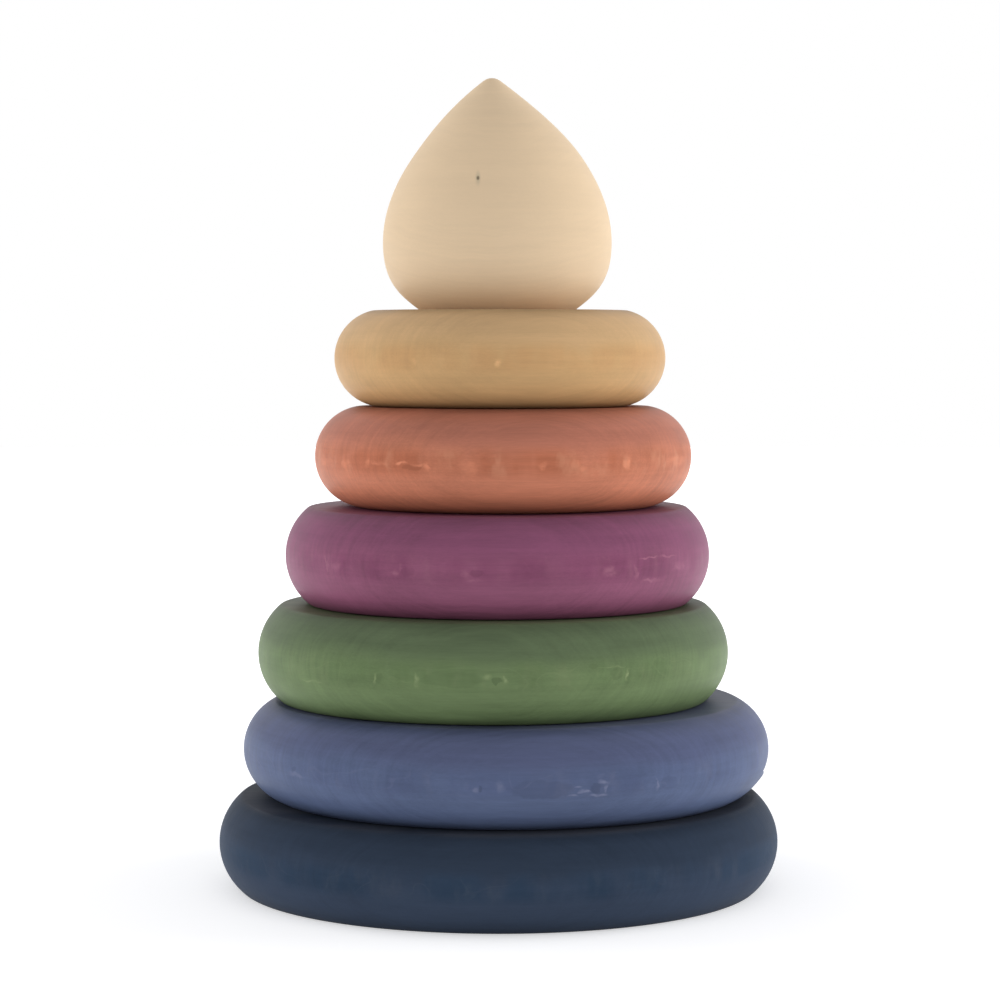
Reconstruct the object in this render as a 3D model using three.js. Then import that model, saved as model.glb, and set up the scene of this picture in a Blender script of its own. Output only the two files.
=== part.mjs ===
// A wooden stacking tower for a small child. A round base carries a glued-in dowel, five loose
// rings drop over the dowel from the largest to the smallest, and a pointed top with a blind
// socket closes the stack. Every piece is turned from solid lime wood.
//
// Units are millimetres and +Z is up. The origin is on the table, under the centre of the base.
// Each piece is a lathe shape: its section is drawn in the plane of its axis and swept round it.

import * as THREE from "three";

// Facets of the turned surfaces.
const AROUND = 48; // facets round every turned piece
const RIM_STEPS = 8; // facets across the rounded rim of a disc
const EASE_STEPS = 2; // facets across a sanded edge
const BULB_STEPS = 9; // facets along each of the two curves of the pointed top

// Fits between the pieces.
const stackGap = 0.1; // air between two sanded faces that lie on each other
const glueGap = 0.15; // glue line round the dowel in the base
const ringClearance = 2; // radial play of a loose ring on the dowel
const socketClearance = 1; // radial play of the pointed top on the dowel

// The dowel.
const dowelDiameter = 12;
const dowelRecess = 0.5; // height of its lower end above the table
const dowelGrip = 22; // length of it that stands inside the pointed top
const dowelDome = 3; // height of its rounded upper end
const dowelChamfer = 0.8;

// Turned discs, from the table up. rimTurn is the angle that half of the rounded rim turns
// through, from its widest line to the flat face: 90 degrees would be a full half round.
// drift is how far a loose disc has slid to the side, as a share of its play on the dowel.
const boreEase = 0.8; // chamfer at both mouths of a bore
const faceEase = 1.5; // radius that softens the line where the rim meets a flat face

const base = { diameter: 115, thickness: 18.8, rimTurn: 52, colour: 0x2f3d4f };

const rings = [
  { name: "blue_ring", diameter: 108, thickness: 19.4, rimTurn: 68, drift: 0.78, colour: 0x5d6b93 },
  { name: "green_ring", diameter: 96.6, thickness: 19.7, rimTurn: 52, drift: -0.55, colour: 0x6b8a55 },
  { name: "plum_ring", diameter: 87, thickness: 19.9, rimTurn: 52, drift: -0.12, colour: 0x8f5277 },
  { name: "coral_ring", diameter: 77.2, thickness: 20.4, rimTurn: 80, drift: 0.47, colour: 0xc97b5c },
  { name: "yellow_ring", diameter: 67.8, thickness: 19.5, rimTurn: 78, drift: 0.14, colour: 0xd6b077 },
];

// The pointed top: a bulb that swells from its flat seat to a belly and closes to a blunt point.
const topHeight = 47.2;
const topDiameter = 46.8; // across the belly
const topSeatDiameter = 32; // flat face that it stands on
const topBelly = 13.7; // height of the widest line above the seat
const topSeatAngle = 37; // slope of the wall where it leaves the seat, in degrees
const topPointAngle = 53; // half angle of the cone at the point, in degrees
const topPointRadius = 2.9; // radius of the blunt point
const topLean = -1.1; // sideways lean of the point, sanded by hand
const topLeanHeight = 16; // height of the part that leans
const topDrift = -0.25; // share of its play on the dowel that the top has slid sideways
const socketSpare = 8; // free depth of the socket past the end of the dowel
const socketConeAngle = 59; // half angle of the cone that the drill leaves, in degrees
const topColour = 0xdcc4a2;

const dowelRadius = dowelDiameter / 2;
const ringBore = dowelRadius + ringClearance;
const socketRadius = dowelRadius + socketClearance;

function wood(colour) {
  return new THREE.MeshStandardMaterial({ color: colour, roughness: 0.55, metalness: 0 });
}

// Sweeps a section round the vertical axis. The section's x is the radius and its y the height.
function turned(name, section, colour) {
  const geometry = new THREE.LatheGeometry(section, AROUND);
  geometry.rotateX(Math.PI / 2);
  const mesh = new THREE.Mesh(geometry, wood(colour));
  mesh.name = name;
  return mesh;
}

// Points of an arc about (x, y), both ends included. Angles are in radians, from the x axis.
function arc(x, y, radius, from, to, steps) {
  const curve = new THREE.EllipseCurve(x, y, radius, radius, from, to, to < from);
  return curve.getPoints(steps);
}

// Section of a disc with a rounded rim and a bore, as a closed loop from height 0 to thickness.
function discSection({ diameter, thickness, rimTurn }, bore) {
  const half = thickness / 2;
  const rimRadius = half / Math.sin(THREE.MathUtils.degToRad(rimTurn));
  const rimCentre = diameter / 2 - rimRadius;

  // The sanded edge is an arc tangent to the rim and to the flat face.
  const easeReach = Math.sqrt((rimRadius - faceEase) ** 2 - (half - faceEase) ** 2);
  const easeCentre = rimCentre + easeReach;
  const rimEnd = Math.atan2(half - faceEase, easeReach);
  const square = Math.PI / 2;

  const section = [
    new THREE.Vector2(bore, boreEase),
    new THREE.Vector2(bore + boreEase, 0),
    ...arc(easeCentre, faceEase, faceEase, -square, -rimEnd, EASE_STEPS),
    ...arc(rimCentre, half, rimRadius, -rimEnd, rimEnd, RIM_STEPS).slice(1),
    ...arc(easeCentre, thickness - faceEase, faceEase, rimEnd, square, EASE_STEPS).slice(1),
    new THREE.Vector2(bore + boreEase, thickness),
    new THREE.Vector2(bore, thickness - boreEase),
    new THREE.Vector2(bore, boreEase),
  ];
  return section;
}

// Section of the dowel, from the axis at its lower end to the axis at its domed upper end.
function dowelSection(length) {
  const domeRadius = (dowelRadius ** 2 + dowelDome ** 2) / (2 * dowelDome);
  const domeCentre = length - domeRadius;
  const domeStart = Math.asin((length - dowelDome - domeCentre) / domeRadius);
  const section = [
    new THREE.Vector2(0, 0),
    new THREE.Vector2(dowelRadius - dowelChamfer, 0),
    new THREE.Vector2(dowelRadius, dowelChamfer),
    ...arc(0, domeCentre, domeRadius, domeStart, Math.PI / 2, EASE_STEPS * 2),
  ];
  section.at(-1).x = 0;
  return section;
}

// Section of the pointed top: up the socket's ceiling and wall, over the seat and up the bulb.
function topSection(socketWall, socketTop) {
  const seat = topSeatDiameter / 2;
  const belly = topDiameter / 2;
  const rise = topHeight - topBelly;
  const seatAngle = THREE.MathUtils.degToRad(topSeatAngle);
  const pointAngle = THREE.MathUtils.degToRad(topPointAngle);

  // The point is a small sphere, and the bulb's upper curve runs into it along the cone.
  const pointX = topPointRadius * Math.cos(pointAngle);
  const pointY = topHeight - topPointRadius * (1 - Math.sin(pointAngle));
  const seatPull = 0.36 * topBelly;
  const bellyPull = 0.59 * topBelly;
  const shoulderPull = 0.4 * rise;
  const conePull = 0.38 * rise;

  const lower = new THREE.CubicBezierCurve(
    new THREE.Vector2(seat, 0),
    new THREE.Vector2(seat + seatPull * Math.cos(seatAngle), seatPull * Math.sin(seatAngle)),
    new THREE.Vector2(belly, topBelly - bellyPull),
    new THREE.Vector2(belly, topBelly),
  );
  const upper = new THREE.CubicBezierCurve(
    new THREE.Vector2(belly, topBelly),
    new THREE.Vector2(belly, topBelly + shoulderPull),
    new THREE.Vector2(pointX + conePull * Math.sin(pointAngle), pointY - conePull * Math.cos(pointAngle)),
    new THREE.Vector2(pointX, pointY),
  );
  const section = [
    new THREE.Vector2(0, socketTop),
    new THREE.Vector2(socketRadius, socketWall),
    new THREE.Vector2(socketRadius, boreEase),
    new THREE.Vector2(socketRadius + boreEase, 0),
    ...lower.getPoints(BULB_STEPS),
    ...upper.getPoints(BULB_STEPS).slice(1),
    ...arc(0, topHeight - topPointRadius, topPointRadius, pointAngle, Math.PI / 2, EASE_STEPS).slice(1),
  ];
  section.at(-1).x = 0;
  return section;
}

// Slides the pointed top's outside sideways above the height `from`, by the whole shift at `to`.
// The socket was drilled straight before the point was sanded, so its surface stays where it is.
function lean(geometry, socketTop, from, to, shift) {
  const reach = 0.5; // less than the thinnest wall between the socket and the outside
  const position = geometry.getAttribute("position");
  for (let i = 0; i < position.count; i += 1) {
    const radius = Math.hypot(position.getX(i), position.getY(i));
    const level = position.getZ(i);
    const inSocket = radius < socketRadius + reach && level < socketTop + reach;
    const share = inSocket ? 0 : THREE.MathUtils.smoothstep(level, from, to);
    position.setX(i, position.getX(i) + shift * share);
  }
  geometry.computeVertexNormals();
}

// The stack, from the table up. Each piece lies on the one below it.
const tower = new THREE.Group();
tower.name = "stacking_tower";

const baseRing = turned("base_ring", discSection(base, dowelRadius + glueGap), base.colour);
tower.add(baseRing);

let height = base.thickness + stackGap;
for (const ring of rings) {
  const mesh = turned(ring.name, discSection(ring, ringBore), ring.colour);
  mesh.position.set(ring.drift * ringClearance, 0, height);
  tower.add(mesh);
  height += ring.thickness + stackGap;
}

const socketWall = dowelGrip + socketSpare; // height of the socket's straight wall
const socketTop = socketWall + socketRadius / Math.tan(THREE.MathUtils.degToRad(socketConeAngle));
const pointedTop = turned("pointed_top", topSection(socketWall, socketTop), topColour);
lean(pointedTop.geometry, socketTop, topHeight - topLeanHeight, topHeight, topLean);
pointedTop.position.set(topDrift * socketClearance, 0, height);
tower.add(pointedTop);

const dowelLength = height + dowelGrip - dowelRecess;
const dowel = turned("dowel", dowelSection(dowelLength), topColour);
dowel.position.z = dowelRecess;
tower.add(dowel);

export default tower;
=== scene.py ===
from math import asin, atan2, cos, exp, hypot, pi, radians, sin, sqrt, tan

import bmesh
import bpy
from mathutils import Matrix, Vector
from mathutils.geometry import interpolate_bezier


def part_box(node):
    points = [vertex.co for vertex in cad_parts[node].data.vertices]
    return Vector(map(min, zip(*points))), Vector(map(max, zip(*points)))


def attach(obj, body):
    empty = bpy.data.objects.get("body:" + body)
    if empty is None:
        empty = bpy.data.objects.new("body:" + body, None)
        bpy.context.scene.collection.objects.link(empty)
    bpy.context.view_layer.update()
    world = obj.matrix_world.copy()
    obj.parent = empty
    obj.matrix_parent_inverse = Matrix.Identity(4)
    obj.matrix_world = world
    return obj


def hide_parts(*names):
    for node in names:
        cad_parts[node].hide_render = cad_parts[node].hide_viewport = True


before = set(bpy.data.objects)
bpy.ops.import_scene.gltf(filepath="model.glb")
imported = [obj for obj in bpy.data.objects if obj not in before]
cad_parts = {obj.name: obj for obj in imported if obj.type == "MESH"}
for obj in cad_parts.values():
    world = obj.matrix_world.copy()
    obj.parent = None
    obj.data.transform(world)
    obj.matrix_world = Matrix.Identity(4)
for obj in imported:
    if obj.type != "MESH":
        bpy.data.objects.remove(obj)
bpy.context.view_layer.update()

# ---------------------------------------------------------------------------------------------
# Camera. A long lens on a level with the upper rings looks slightly down on the stack, so the
# widest line of each disc bows and the top faces almost vanish.

MM = 0.001  # metres

camera = bpy.data.objects.new("camera", bpy.data.cameras.new("camera"))
camera.location = (0.3 * MM, -592.8 * MM, 111.7 * MM)
camera.rotation_euler = (radians(90 - 3.13), 0, 0)
camera.data.lens = 103.9
camera.data.sensor_width = 36
bpy.context.scene.collection.objects.link(camera)
bpy.context.scene.camera = camera

# ---------------------------------------------------------------------------------------------
# Base ring. The widest disc, turned from a planed lime board about 19 mm thick and stained dark
# navy. Its grain lies along X, its bore takes the glued dowel, and its underside is flat.

FACE_EASE = 1.5 * MM  # radius sanded on the line where a rim meets a flat face
BORE_EASE = 0.8 * MM  # chamfer at the mouths of a bore
GLUE_GAP = 0.15 * MM
EASE_STEPS = 6
RIM_STEPS = 48
AROUND = 224  # steps of a full turn

dowel_low, dowel_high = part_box("dowel")
dowel_radius = (dowel_high.x - dowel_low.x) / 2


def arc(x, y, radius, start, end, steps):
    """Points of a circle's arc from one angle to another, both ends included."""
    angles = [start + (end - start) * i / steps for i in range(steps + 1)]
    return [(x + radius * cos(a), y + radius * sin(a)) for a in angles]


def disc_outline(diameter, thickness, rim_turn, bore):
    """The section of a disc with a rounded rim, as (radius, height) points of a closed loop."""
    half = thickness / 2
    rim_radius = half / sin(radians(rim_turn))
    rim_centre = diameter / 2 - rim_radius
    # the sanded edge is tangent to the rim and to the flat face
    ease_reach = sqrt((rim_radius - FACE_EASE) ** 2 - (half - FACE_EASE) ** 2)
    ease_centre = rim_centre + ease_reach
    rim_end = atan2(half - FACE_EASE, ease_reach)
    return [
        (bore, BORE_EASE),
        (bore + BORE_EASE, 0),
        *arc(ease_centre, FACE_EASE, FACE_EASE, -pi / 2, -rim_end, EASE_STEPS),
        *arc(rim_centre, half, rim_radius, -rim_end, rim_end, RIM_STEPS)[1:],
        *arc(ease_centre, thickness - FACE_EASE, FACE_EASE, rim_end, pi / 2, EASE_STEPS)[1:],
        (bore + BORE_EASE, thickness),
        (bore, thickness - BORE_EASE),
    ]


def spun(outline, closed):
    """A bmesh of an outline spun round the Z axis, with its poles and its seam closed."""
    bm = bmesh.new()
    verts = [bm.verts.new((radius, 0, height)) for radius, height in outline]
    ends = verts[1:] + verts[:1] if closed else verts[1:]
    edges = [bm.edges.new(pair) for pair in zip(verts, ends)]
    bmesh.ops.spin(bm, geom=verts + edges, cent=(0, 0, 0), axis=(0, 0, 1), angle=2 * pi,
                   steps=AROUND, use_merge=True)
    bmesh.ops.remove_doubles(bm, verts=bm.verts, dist=0.001 * MM)
    bmesh.ops.recalc_face_normals(bm, faces=bm.faces)
    return bm


def piece(name, bm, node, body, finish):
    """Makes a bmesh a smooth piece that stands for a CAD node and rides on its body."""
    mesh = bpy.data.meshes.new(name)
    bm.to_mesh(mesh)
    bm.free()
    mesh.shade_smooth()
    mesh.set_sharp_from_angle(angle=radians(35))
    mesh.materials.append(finish)
    made = bpy.data.objects.new(name, mesh)
    bpy.context.scene.collection.objects.link(made)
    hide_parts(node)
    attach(made, body)


def mark_edges(bm, face_radius, heights):
    """Stores how near each point lies to the sanded edges of a disc, as a tight and a wide field.

    The stain is thin on the edge itself, and the wide field paints shade on the rim beside it,
    where the discs touch.
    """
    edge_reach = 0.9 * MM
    contact_shade_reach = 2.6 * MM
    wear = bm.verts.layers.float.new("wear")
    contact_shade = bm.verts.layers.float.new("contact_shade")
    for vert in bm.verts:
        radius = hypot(vert.co.x, vert.co.y)
        away = min(hypot(radius - face_radius, vert.co.z - height) for height in heights)
        vert[wear] = exp(-((away / edge_reach) ** 2))
        vert[contact_shade] = exp(-((away / contact_shade_reach) ** 2))


class Nodes:
    """Adds shader nodes to a material or a world one at a time and links what they are given."""

    def __init__(self, owner):
        owner.use_nodes = True
        self.tree = owner.node_tree

    def add(self, kind, inputs=(), **settings):
        node = self.tree.nodes.new(kind)
        for name, value in settings.items():
            setattr(node, name, value)
        for socket, value in dict(inputs).items():
            self.put(node.inputs[socket], value)
        return node

    def put(self, socket, value):
        if isinstance(value, bpy.types.NodeSocket):
            self.tree.links.new(value, socket)
        else:
            socket.default_value = value

    def math(self, operation, first, second=0.0, clamp=False):
        inputs = {0: first, 1: second}
        return self.add("ShaderNodeMath", inputs, operation=operation, use_clamp=clamp).outputs[0]

    def plus(self, first, *others):
        for other in others:
            first = self.math("ADD", first, other)
        return first

    def minus(self, first, second):
        return self.math("SUBTRACT", first, second)

    def times(self, first, *others):
        for other in others:
            first = self.math("MULTIPLY", first, other)
        return first

    def vector(self, operation, first, second=(0, 0, 0)):
        inputs = {0: first, 1: second}
        return self.add("ShaderNodeVectorMath", inputs, operation=operation).outputs[0]

    def scaled(self, vector, x, y, z):
        return self.vector("MULTIPLY", vector, (x, y, z))

    def length(self, vector):
        inputs = {0: vector}
        return self.add("ShaderNodeVectorMath", inputs, operation="LENGTH").outputs["Value"]

    def noise(self, vector, detail=2.0, roughness=0.5):
        inputs = {"Vector": vector, "Scale": 1.0, "Detail": detail, "Roughness": roughness}
        return self.add("ShaderNodeTexNoise", inputs).outputs["Fac"]

    def attribute(self, name):
        return self.add("ShaderNodeAttribute", attribute_name=name).outputs["Fac"]

    def ramp(self, value, low, high):
        """Takes a value from low to high onto 0 to 1, smoothly."""
        inputs = {"Value": value, "From Min": low, "From Max": high}
        return self.add("ShaderNodeMapRange", inputs, interpolation_type="SMOOTHSTEP").outputs[0]

    def fade(self, value, low, high):
        """Takes a value from low to high onto 1 to 0, smoothly."""
        return self.minus(1.0, self.ramp(value, low, high))

    def mix(self, factor, first, second):
        inputs = {0: factor, 6: first, 7: second}
        return self.add("ShaderNodeMix", inputs, data_type="RGBA").outputs[2]


def tone(colour, gain, paler=0.0):
    """A colour made lighter or darker by a gain, and paler by a share of raw lime wood."""
    raw = (0.62, 0.49, 0.34)
    return (*[min(1, gain * (c + paler * (r - c))) for c, r in zip(colour, raw)], 1)


def srgb(red, green, blue):
    """Turns the colour of a swatch, from 0 to 255 a channel, into the shader's linear values."""
    shares = [c / 255 for c in (red, green, blue)]
    return [c / 12.92 if c <= 0.04045 else ((c + 0.055) / 1.055) ** 2.4 for c in shares]


def growth_depth(n, wood, pith):
    """How deep each point lies in the tree: its distance from the pith, with swells and waves.

    The pith is a line along the fibres, given as its (y, z) from the piece's centre. All noises
    of the wood are scaled in steps per metre, so a small number makes a long figure.
    """
    y, z = n.add("ShaderNodeSeparateXYZ", {0: wood}).outputs[1:]
    behind = n.minus(y, pith[0])
    above = n.minus(z, pith[1])
    straight = n.math("SQRT", n.plus(n.times(behind, behind), n.times(above, above)))
    swell = n.noise(n.scaled(wood, 42, 26, 26), detail=1.0)
    wave = n.noise(n.scaled(wood, 120, 45, 80), detail=2.0)
    return n.plus(straight, n.times(swell, 3.0 * MM), n.times(wave, 2.5 * MM))


def grazed_patches(n, wood, at_centre, patches):
    """Where the front of the widest line grazes a growth layer and took the stain unevenly, and,
    for the first of the coral's patches, a painted highlight.

    Each patch is given as its x, its z, its half width and its half height in millimetres, and
    its strength, which is below nought for a dark one. Returns how pale and how dark a point is.
    """
    sway = n.add("ShaderNodeTexNoise", {"Vector": wood, "Scale": 480.0, "Detail": 3.0})
    sway = n.vector("SUBTRACT", sway.outputs["Color"], (0.5, 0.5, 0.5))
    bent = n.vector("ADD", at_centre, n.scaled(sway, 2.6 * MM, 0, 1.6 * MM))
    pale = 0.0
    dark = 0.0
    for centre_x, centre_z, half_width, half_height, strength in patches:
        local = n.vector("SUBTRACT", bent, (centre_x * MM, 0, centre_z * MM))
        local = n.scaled(local, 1 / (half_width * MM), 0, 1 / (half_height * MM))
        out = n.length(local)
        if strength > 0:
            pale = n.math("MAXIMUM", pale, n.times(n.fade(out, 0.2, 1.5), strength))
        else:
            dark = n.math("MAXIMUM", dark, n.times(n.fade(out, 0.8, 1.05), -strength))
    return pale, dark


def knotted(n, paint, place, spot, front):
    """Adds the end of a twig on the front: a dark dot with a grey smear."""
    off = n.vector("SUBTRACT", place, spot)
    smear = n.fade(n.length(n.scaled(off, 1, 0, 0.35)), 0.15 * MM, 0.7 * MM)
    dot = n.fade(n.length(n.scaled(off, 1, 0, 0.7)), 0.12 * MM, 0.42 * MM)
    paint = n.mix(n.times(front, smear, 0.35), paint, (0.36, 0.33, 0.24, 1))
    return n.mix(n.times(front, dot, 0.8), paint, (0.10, 0.08, 0.05, 1))


def lime_wood(name, stain, centre, pith=(140 * MM, -18 * MM), grain_turn=(0, 0, 0),
              layers=2.3 * MM, contrast=1.0, rubbed=0.1, thin_edge=0.2, patches=(), stray=0.1,
              gloss=0.5, shine=0.22, pin_knot=None):
    """Lime wood with its fibres along X before grain_turn, and three tints of one stain.

    The tints are for the lower half of a rim, its widest line and its upper half. Each is the
    stain's colour, with painted light lifting the lower half and painted shade darkening the upper
    half. Layers is a year's growth, rubbed and thin_edge say how far the stain has worn at the
    widest line and at the sanded edges, and stray is the strength of the faint outlines on the
    front. Gloss is the roughness, shine the strength of the reflection, and pin_knot the place
    of a twig's end.
    """
    lit_lower, widest, shaded_upper = stain
    material = bpy.data.materials.new(name)
    n = Nodes(material)
    shader = n.tree.nodes["Principled BSDF"]
    place = n.add("ShaderNodeTexCoord").outputs["Object"]
    inputs = {"Vector": place, "Location": [-c for c in centre]}
    at_centre = n.add("ShaderNodeMapping", inputs).outputs[0]
    inputs = {"Vector": at_centre, "Rotation": [radians(a) for a in grain_turn]}
    wood = n.add("ShaderNodeMapping", inputs).outputs[0]
    x, y, z = n.add("ShaderNodeSeparateXYZ", {0: wood}).outputs
    depth = growth_depth(n, wood, pith)

    # streaks and late wood that follow the layers and fade where a rim runs along one
    along = n.add("ShaderNodeCombineXYZ", {0: x, 1: depth, 2: z}).outputs[0]
    steep = n.ramp(n.length(n.scaled(wood, 40, 0, 150)), 0.5, 1.3)
    streaks = n.noise(n.scaled(along, 30, 1500, 110), detail=3.0, roughness=0.6)
    streaks = n.times(n.minus(streaks, 0.5), steep)
    year = n.math("FRACT", n.math("DIVIDE", depth, layers))
    late = n.times(n.ramp(year, 0.55, 1.0), steep)

    # strokes of the fibres, turning marks round the axis, pores, and uneven take-up of stain
    strokes = n.noise(n.scaled(along, 32, 170, 420), detail=4.0, roughness=0.6)
    marks = n.noise(n.scaled(wood, 14, 14, 1300), detail=3.0, roughness=0.6)
    pores = n.noise(n.scaled(wood, 150, 3600, 3600), detail=2.0, roughness=0.6)
    clouds = n.noise(n.scaled(wood, 26, 60, 85), detail=3.0, roughness=0.55)
    shade = n.minus(n.times(streaks, 0.36 * contrast), n.times(late, 0.03 * contrast))
    for field, weight in ((strokes, 0.34), (marks, 0.2), (pores, 0.24), (clouds, 0.5)):
        shade = n.plus(shade, n.times(n.minus(field, 0.5), weight * contrast))
    # painted shade on the rim near the flat faces, where the discs touch
    shade = n.minus(n.plus(shade, 1.0), n.times(n.attribute("contact_shade"), 0.4))

    # the three tints, each with a broken edge: the stain with painted light on the lower half
    # and painted shade on the upper half
    uneven = n.plus(z, n.times(n.minus(clouds, 0.5), 9 * MM))
    paint = n.mix(n.ramp(uneven, -1.5 * MM, 6 * MM), (*lit_lower, 1), (*shaded_upper, 1))
    belt = n.fade(n.math("ABSOLUTE", z), 0.8 * MM, 4.0 * MM)
    flecks = n.noise(n.scaled(wood, 105, 105, 45), detail=3.0, roughness=0.6)
    paint = n.mix(n.times(belt, n.ramp(flecks, 0.3, 0.62)), paint, (*widest, 1))
    paint = n.add("ShaderNodeVectorMath", {0: paint, "Scale": shade}, operation="SCALE").outputs[0]

    # patches and faint outlines where the widest line grazes a layer
    contour = n.noise(n.scaled(wood, 95, 60, 170), detail=1.0)
    outline = n.fade(n.math("ABSOLUTE", n.minus(contour, 0.6)), 0.003, 0.014)
    pale, dark = grazed_patches(n, wood, at_centre, patches)
    pale = n.math("MAXIMUM", n.times(outline, belt, stray), pale)
    broken = n.ramp(n.noise(n.scaled(wood, 420, 260, 700), detail=3.0), 0.35, 0.6)
    broken = n.plus(n.times(broken, 0.8), 0.5)
    front = n.math("LESS_THAN", y, 0.0)
    pale = n.times(n.math("MULTIPLY", pale, broken, clamp=True), front)
    paint = n.mix(n.times(dark, front, 0.8), paint, tone(widest, 0.78))
    paint = n.mix(pale, paint, tone(widest, 1.5, paler=0.08))

    # the stain is thin where the widest line rubs and on the sanded edges
    scuffs = n.ramp(n.noise(n.scaled(wood, 230, 230, 120), detail=3.0, roughness=0.6), 0.5, 0.7)
    thin = n.times(belt, scuffs, rubbed)
    worn = n.times(n.attribute("wear"), n.ramp(clouds, 0.3, 0.7), thin_edge)
    paint = n.mix(n.math("ADD", thin, worn, clamp=True), paint, tone(widest, 1.25, paler=0.2))
    if pin_knot:
        paint = knotted(n, paint, place, pin_knot, front)
    n.put(shader.inputs["Base Color"], paint)

    # gloss and relief follow the figure
    sheen = n.plus(gloss, n.times(streaks, 0.2), n.times(n.minus(pores, 0.5), 0.16))
    n.put(shader.inputs["Roughness"], n.minus(sheen, n.times(thin, 0.1)))
    n.put(shader.inputs["Specular IOR Level"], shine)
    relief = n.plus(n.times(pores, 0.6), n.times(marks, 0.4), n.times(pale, 0.2))
    inputs = {"Strength": 0.4, "Distance": 0.04 * MM, "Height": relief}
    n.put(shader.inputs["Normal"], n.add("ShaderNodeBump", inputs).outputs[0])
    return material


def scrape(bm, place, angle, height, depth):
    """Scrapes a rim sideways at an angle and a height: a shallow hollow with a burr under it."""
    fine_radius = 12 * MM  # of the part of the mesh that is made finer
    fine_height = 3.5 * MM
    end_radius = 14 * MM  # the scrape has died out before this
    half_length = 6 * MM
    burr_height = 4 * MM
    burr_break = 0.1 * MM  # height over which the burr breaks off at its top
    hollow_height = 0.5 * MM  # of its middle above the burr's top
    hollow_width = 0.4 * MM
    hollow_share = 0.6  # of the burr's depth
    radius = max(hypot(vert.co.x - place.x, vert.co.y - place.y) for vert in bm.verts)
    spot = place + Vector((radius * cos(angle), radius * sin(angle), height))
    near = [edge for edge in bm.edges if all(
        (vert.co - spot).length < fine_radius and abs(vert.co.z - spot.z) < fine_height
        for vert in edge.verts)]
    bmesh.ops.subdivide_edges(bm, edges=near, cuts=3, use_grid_fill=True)
    for vert in bm.verts:
        off = vert.co - spot
        if off.length > end_radius:
            continue
        outward = Vector((vert.co.x - place.x, vert.co.y - place.y, 0)).normalized()
        reach = exp(-((off.length / half_length) ** 2))
        burr = max(0, 1 + off.z / burr_height) / (1 + exp(off.z / burr_break))
        hollow = hollow_share * exp(-(((off.z - hollow_height) / hollow_width) ** 2))
        vert.co += outward * depth * reach * (burr - hollow)


def turned_disc(node, rim_turn, bore, tints, slot, nick=None, **cut):
    """A stained disc in the place of a CAD node, with its own cut of wood."""
    low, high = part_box(node)
    thickness = high.z - low.z
    outline = disc_outline(high.x - low.x, thickness, rim_turn, bore)
    bm = spun(outline, closed=True)
    face_radius = max(radius for radius, height in outline if height == 0)
    mark_edges(bm, face_radius, (0, thickness))
    place = Vector(((low.x + high.x) / 2, (low.y + high.y) / 2, low.z))
    bmesh.ops.translate(bm, verts=bm.verts, vec=place)
    if nick:
        scrape(bm, place, *nick)
    finish = lime_wood(slot, [srgb(*tint) for tint in tints], (low + high) / 2, **cut)
    body = "base" if node == "base_ring" else node
    piece(node + "_turned", bm, node, body, finish)


# lower, widest and upper tints: the stain with painted light below and painted shade above
navy = [(60, 72, 92), (49, 65, 86), (47, 58, 75)]
turned_disc("base_ring", 52, dowel_radius + GLUE_GAP, navy, "navy_stain", grain_turn=(0, 0, 3),
            contrast=0.6, stray=0.06, rubbed=0.05, gloss=0.55, shine=0.05)

# ---------------------------------------------------------------------------------------------
# Dowel. A straight lime rod, glued into the base, with a domed upper end and a chamfered lower
# one. Its fibres run upwards, and it is left bare.

DOWEL_DOME = 3 * MM
DOWEL_CHAMFER = 0.8 * MM
DOME_STEPS = 16

dowel_length = dowel_high.z - dowel_low.z
dome_radius = (dowel_radius**2 + DOWEL_DOME**2) / (2 * DOWEL_DOME)
dome_start = asin((dome_radius - DOWEL_DOME) / dome_radius)
dowel_outline = [
    (0, 0),
    (dowel_radius - DOWEL_CHAMFER, 0),
    (dowel_radius, DOWEL_CHAMFER),
    *arc(0, dowel_length - dome_radius, dome_radius, dome_start, pi / 2, DOME_STEPS),
]
dowel_bm = spun(dowel_outline, closed=False)
bmesh.ops.translate(dowel_bm, verts=dowel_bm.verts, vec=(0, 0, dowel_low.z))
bare = [srgb(232, 206, 172)] * 3
upright = lime_wood("bare_dowel", bare, (0, 0, 0), grain_turn=(0, 90, 20),
                    pith=(30 * MM, 4 * MM), layers=1.4 * MM, contrast=0.6, rubbed=0, thin_edge=0,
                    stray=0)
piece("dowel_rod", dowel_bm, "dowel", "base", upright)

# ---------------------------------------------------------------------------------------------
# Loose rings. Five discs of the same make as the base, each smaller than the one under it, with
# a bore 4 mm wider than the dowel. Each rim is sanded to its own roundness and has its own stain.

RING_CLEARANCE = 2 * MM
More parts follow.
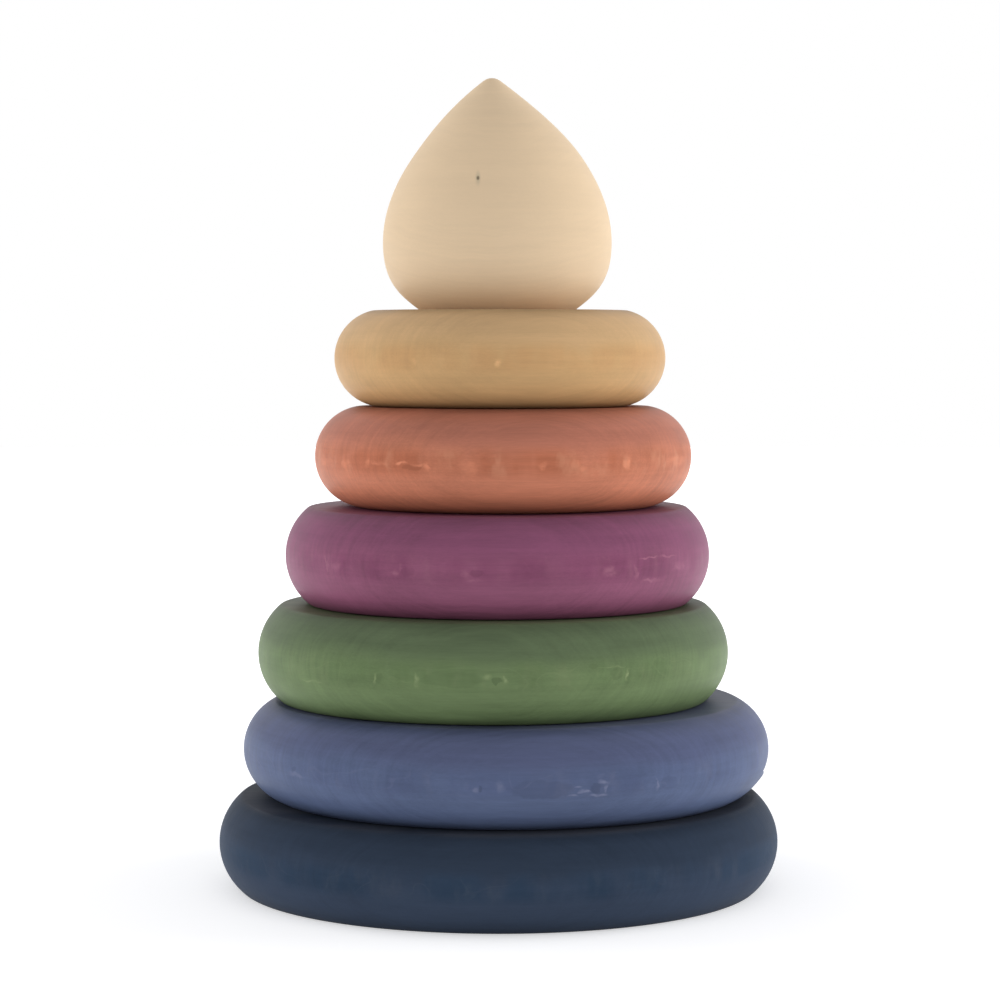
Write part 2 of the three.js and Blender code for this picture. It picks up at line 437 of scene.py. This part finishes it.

# each ring's rim turn, its three tints (the stain with painted light below and painted shade
# above), and its cut of wood with the patches on its front
rings = [
    ("blue", 68, [(93, 107, 141), (84, 96, 130), (81, 89, 121)], dict(
        grain_turn=(0, 0, -4), nick=(radians(-5), 4.9 * MM, 0.42 * MM),
        patches=[(6.5, -1, 6.2, 1.9, -0.6), (16.9, -1.1, 1.3, 1.1, -0.9),
                 (14.6, -1.6, 1.1, 0.3, 0.9), (12.7, -2.2, 0.9, 0.3, 0.6),
                 (17.3, -2.4, 1.7, 0.3, 0.8), (18.2, 0.1, 0.9, 0.4, 0.7),
                 (18.8, -1.1, 0.3, 0.9, 0.6), (13.6, -0.7, 0.9, 0.2, 0.5),
                 (-4.8, -0.7, 0.4, 0.7, -0.9), (-5.7, -1, 0.6, 0.5, 0.5),
                 (-1.1, -0.4, 0.8, 0.9, 0.35), (-41.3, 0, 0.7, 0.6, -0.6),
                 (-40.9, -0.9, 1.6, 0.4, 0.35), (28.8, -1.1, 0.3, 1.1, 0.6),
                 (31.1, -1.1, 1.7, 1.5, -0.3)])),
    ("green", 52, [(113, 134, 92), (100, 121, 81), (88, 104, 75)], dict(
        grain_turn=(0, 0, 6),
        patches=[(-22.6, -0.8, 0.3, 0.9, 0.55), (-21.6, -0.9, 0.8, 1.1, -0.4),
                 (-35.2, -2.6, 1.9, 0.2, 0.6), (-14.3, -0.7, 0.4, 1.2, 0.65),
                 (-7.7, -0.6, 6.3, 1.7, -0.35), (-1, 0, 0.8, 0.6, 0.5),
                 (0.8, -0.7, 0.9, 0.8, -0.8), (2.2, -0.4, 0.3, 0.9, 0.8),
                 (19.5, 1.6, 1, 0.4, -0.5), (23, 1.3, 2.1, 0.2, 0.45),
                 (23.8, -0.1, 1.5, 1.2, -0.5), (26, -0.3, 0.3, 1.1, 0.95)])),
    ("plum", 52, [(147, 87, 116), (133, 73, 104), (130, 74, 104)], dict(
        grain_turn=(0, 0, 2), stray=0.05,
        patches=[(-33.6, 0.1, 0.3, 1.6, 0.5), (-31.5, -0.1, 1, 0.8, 0.3),
                 (-19.9, -0.8, 0.8, 0.6, 0.5), (-18.7, 0.2, 0.4, 0.8, 0.4),
                 (-17.3, -0.7, 1.3, 1.2, -0.4), (-6, -0.9, 0.8, 1.1, 0.45),
                 (-4, -0.5, 1.3, 0.9, -0.6), (-4.4, -1.9, 1.9, 0.3, 0.4),
                 (21.8, -0.9, 1.7, 1, 0.55), (22.9, -1, 0.7, 0.6, -0.7),
                 (29.2, 1.6, 1.9, 0.2, 0.65), (33.3, 1.6, 1.6, 0.2, 0.5),
                 (35.9, -0.6, 0.8, 0.7, 0.6), (26.8, -1, 0.3, 1.4, 0.45),
                 (30, -2.9, 2.1, 0.3, 0.6), (31, -0.7, 3.5, 1.8, -0.3)])),
    ("coral", 80, [(209, 132, 103), (187, 111, 82), (178, 112, 92)], dict(
        grain_turn=(0, 0, -7), rubbed=0.5, stray=0.05,
        # the first patch is a painted highlight: the orange sheen at the rim's left end
        patches=[(-35.9, -0.5, 1.2, 1, 0.4), (-30.9, -0.9, 0.8, 1, 0.4),
                 (-26.9, -0.5, 0.6, 1, 0.5), (-24.2, -0.2, 1.6, 0.4, 0.4),
                 (-17.7, -1, 2.3, 0.6, -1), (-20, -0.1, 1.2, 0.3, 1), (-16.3, -0.4, 1.5, 0.3, 1),
                 (-14.9, -0.9, 0.3, 0.6, 0.9), (-6.2, -0.9, 1, 1.1, 0.5),
                 (7.8, -0.5, 1, 0.8, 0.6), (14, -0.3, 0.8, 0.8, 0.7), (15.2, -1, 1, 0.6, 0.5),
                 (24.3, -0.2, 0.8, 1.2, 0.9), (34.5, -0.2, 2, 1, 0.4)])),
    ("yellow", 78, [(209, 170, 120), (204, 161, 112), (204, 168, 124)], dict(
        grain_turn=(0, 0, -12), contrast=0.6, stray=0, rubbed=0.15,
        patches=[(-0.4, -0.6, 0.9, 0.7, 0.6), (-16.7, -0.6, 0.6, 0.6, 0.3)])),
]
for colour, rim_turn, tints, cut in rings:
    turned_disc(colour + "_ring", rim_turn, dowel_radius + RING_CLEARANCE, tints,
                colour + "_stain", **cut)

# ---------------------------------------------------------------------------------------------
# Pointed top. A bulb of bare lime wood that swells from a flat seat to a belly and closes to a
# blunt point, sanded by hand. A blind drilled socket takes the end of the dowel.

SEAT_DIAMETER = 32 * MM
BELLY_HEIGHT = 13.7 * MM
SEAT_SLOPE = radians(37)
POINT_HALF_ANGLE = radians(53)
POINT_RADIUS = 2.9 * MM
POINT_LEAN = -1.1 * MM
LEAN_HEIGHT = 16 * MM  # of the part that leans
SOCKET_CLEARANCE = 1 * MM
SOCKET_SPARE = 8 * MM  # straight wall past the end of the dowel
DRILL_HALF_ANGLE = radians(59)
SOCKET_REACH = 0.5 * MM  # less than the thinnest wall between the socket and the outside

top_low, top_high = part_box("pointed_top")
top_height = top_high.z - top_low.z
belly = (top_high.x - top_low.x) / 2
seat = SEAT_DIAMETER / 2
socket_radius = dowel_radius + SOCKET_CLEARANCE
socket_wall = dowel_high.z - top_low.z + SOCKET_SPARE
socket_top = socket_wall + socket_radius / tan(DRILL_HALF_ANGLE)
rise = top_height - BELLY_HEIGHT


def curve(start, pull_out, pull_in, end, steps):
    """Points of a cubic curve between two points, with its two handles."""
    knots = [Vector((*point, 0)) for point in (start, pull_out, pull_in, end)]
    return [(point.x, point.y) for point in interpolate_bezier(*knots, steps + 1)]


point_x = POINT_RADIUS * cos(POINT_HALF_ANGLE)
point_y = top_height - POINT_RADIUS * (1 - sin(POINT_HALF_ANGLE))
seat_pull = 0.36 * BELLY_HEIGHT
cone_pull = 0.38 * rise
top_outline = [
    (0, socket_top),
    (socket_radius, socket_wall),
    (socket_radius, BORE_EASE),
    (socket_radius + BORE_EASE, 0),
    *curve((seat, 0),
           (seat + seat_pull * cos(SEAT_SLOPE), seat_pull * sin(SEAT_SLOPE)),
           (belly, 0.41 * BELLY_HEIGHT),
           (belly, BELLY_HEIGHT), 28),
    *curve((belly, BELLY_HEIGHT),
           (belly, BELLY_HEIGHT + 0.4 * rise),
           (point_x + cone_pull * sin(POINT_HALF_ANGLE),
            point_y - cone_pull * cos(POINT_HALF_ANGLE)),
           (point_x, point_y), 40)[1:],
    *arc(0, top_height - POINT_RADIUS, POINT_RADIUS, POINT_HALF_ANGLE, pi / 2, 8)[1:],
]
top_bm = spun(top_outline, closed=False)

# the point leans sideways, and the socket, which was drilled first, stays straight
for vert in top_bm.verts:
    beside = hypot(vert.co.x, vert.co.y) < socket_radius + SOCKET_REACH
    if beside and vert.co.z < socket_top + SOCKET_REACH:
        continue
    share = min(1, max(0, (vert.co.z - top_height + LEAN_HEIGHT) / LEAN_HEIGHT))
    vert.co.x += POINT_LEAN * share * share * (3 - 2 * share)
top_place = Vector(((top_low.x + top_high.x) / 2, 0, top_low.z))
bmesh.ops.translate(top_bm, verts=top_bm.verts, vec=top_place)
top_finish = lime_wood("bare_wood", bare, (top_low + top_high) / 2, grain_turn=(0, 0, 4),
                       pith=(30 * MM, -150 * MM), layers=1.6 * MM, contrast=0.22, stray=0,
                       rubbed=0, thin_edge=0, gloss=0.55, pin_knot=(-4.05 * MM, 0, 144.1 * MM))
piece("pointed_top_turned", top_bm, "pointed_top", "pointed_top", top_finish)

# ---------------------------------------------------------------------------------------------
# Studio. A white table and a white surround, with a wide soft lamp at each side and a weaker one
# in front. The table's own light keeps it white and leaves the toy's faint shadow on it, and is
# dimmed round the toy to paint a darker shadow there.

TABLE_RADIUS = 2.5
SHADOW_START, SHADOW_END = 0.07, 0.5  # the table's own light grows between these radii: painted shadow
SURROUND_LIGHT = 0.58  # strength of the surround where it lights a thing

floor_bm = bmesh.new()
bmesh.ops.create_circle(floor_bm, cap_ends=True, segments=64, radius=TABLE_RADIUS)
floor_mesh = bpy.data.meshes.new("table")
floor_bm.to_mesh(floor_mesh)
floor_bm.free()
floor = bpy.data.objects.new("table", floor_mesh)
bpy.context.scene.collection.objects.link(floor)


def looked_at(n):
    """Is 1 on a ray that shows a thing, straight or in a gloss or glass, and 0 on its light."""
    rays = n.add("ShaderNodeLightPath").outputs
    seen = n.plus(rays["Is Camera Ray"], rays["Is Glossy Ray"])
    return n.math("ADD", seen, rays["Is Transmission Ray"], clamp=True)


table_paint = bpy.data.materials.new("table_paint")
t = Nodes(table_paint)
t.tree.nodes.remove(t.tree.nodes["Principled BSDF"])
bounce = t.add("ShaderNodeBsdfDiffuse", {"Color": (0.9, 0.9, 0.9, 1)}).outputs[0]
shadowed = t.add("ShaderNodeBsdfDiffuse", {"Color": (0.83, 0.835, 0.86, 1)}).outputs[0]
away = t.length(t.add("ShaderNodeTexCoord").outputs["Object"])
# the table's glow is dimmer near the toy: a painted shadow
painted_shadow_strength = t.plus(0.47, t.times(t.ramp(away, SHADOW_START, SHADOW_END), 0.4))
glow = t.add("ShaderNodeEmission", {"Color": (1, 1, 1, 1), "Strength": painted_shadow_strength}).outputs[0]
shown = t.add("ShaderNodeAddShader", {0: glow, 1: shadowed}).outputs[0]
surface = t.add("ShaderNodeMixShader", {0: looked_at(t), 1: bounce, 2: shown}).outputs[0]
t.put(t.tree.nodes["Material Output"].inputs["Surface"], surface)
floor_mesh.materials.append(table_paint)

world = bpy.data.worlds.new("surround")
bpy.context.scene.world = world
w = Nodes(world)
inputs = {0: looked_at(w), 2: SURROUND_LIGHT, 3: 1.0}
strength = w.add("ShaderNodeMix", inputs, data_type="FLOAT").outputs[0]
w.put(w.tree.nodes["Background"].inputs["Color"], (1, 1, 1, 1))
w.put(w.tree.nodes["Background"].inputs["Strength"], strength)

middle = Vector((0, 0, 80 * MM))


def soft_lamp(name, place, width, height, power):
    """A wide area lamp that faces the middle of the stack and isn't mirrored in its gloss."""
    lamp = bpy.data.lights.new(name, "AREA")
    lamp.shape = "RECTANGLE"
    lamp.size = width
    lamp.size_y = height
    lamp.energy = power
    lamp_object = bpy.data.objects.new(name, lamp)
    lamp_object.location = place
    aim = middle - lamp_object.location
    lamp_object.rotation_euler = aim.to_track_quat("-Z", "Y").to_euler()
    lamp_object.visible_glossy = False
    bpy.context.scene.collection.objects.link(lamp_object)


soft_lamp("left_lamp", (-0.85, 0.3, 0.15), 0.7, 0.5, 4.6)
soft_lamp("right_lamp", (0.85, 0.2, 0.15), 0.7, 0.5, 5.3)
soft_lamp("front_lamp", (0.1, -1.3, 0.15), 0.9, 0.4, 3.2)

bpy.context.scene.view_settings.view_transform = "Standard"
